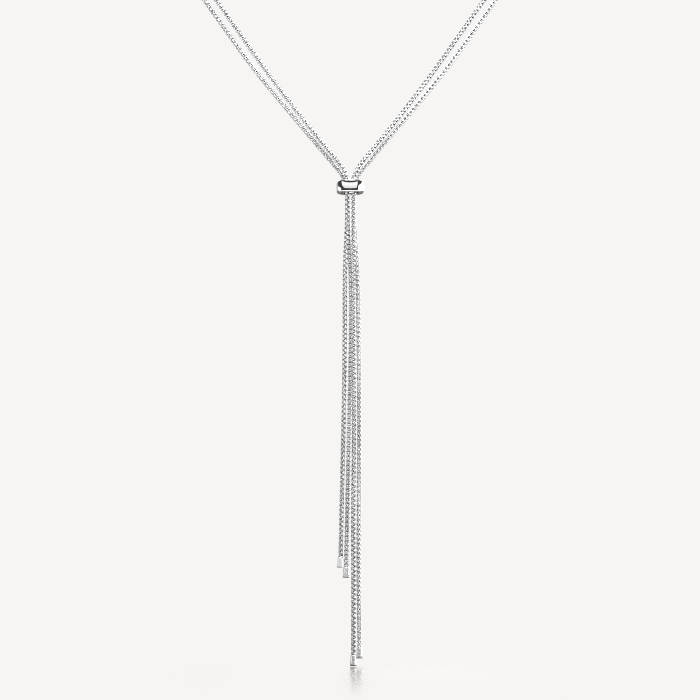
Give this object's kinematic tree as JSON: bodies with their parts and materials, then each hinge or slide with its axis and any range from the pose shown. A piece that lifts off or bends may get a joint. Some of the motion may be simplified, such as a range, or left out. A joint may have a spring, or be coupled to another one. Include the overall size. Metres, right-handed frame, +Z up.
{
  "type": "lariat necklace",
  "caption": "Lariat necklace of fine silver foxtail chains that meet in a V, run through a polished barrel slider and hang in long tails with flared end caps.",
  "frame": {"origin": "between the two chains at the middle of the nape, where the necklace rests on the back of the neck", "axes": "+Z up; the wearer looks along -Y; +X to the right of somebody who faces the wearer"},
  "size_m": [0.126, 0.1214, 0.2556],
  "materials": {
    "chain_silver": "bright drawn wire",
    "slider_silver": "mirror polished",
    "cap_silver": "polished"
  },
  "bodies": {
    "root": {"inner_chain": "chain_silver", "outer_chain": "chain_silver", "slider": "slider_silver", "end_cap_inner_left": "cap_silver", "end_cap_outer_left": "cap_silver", "end_cap_inner_right": "cap_silver", "end_cap_outer_right": "cap_silver"}
  },
  "joints": []
}
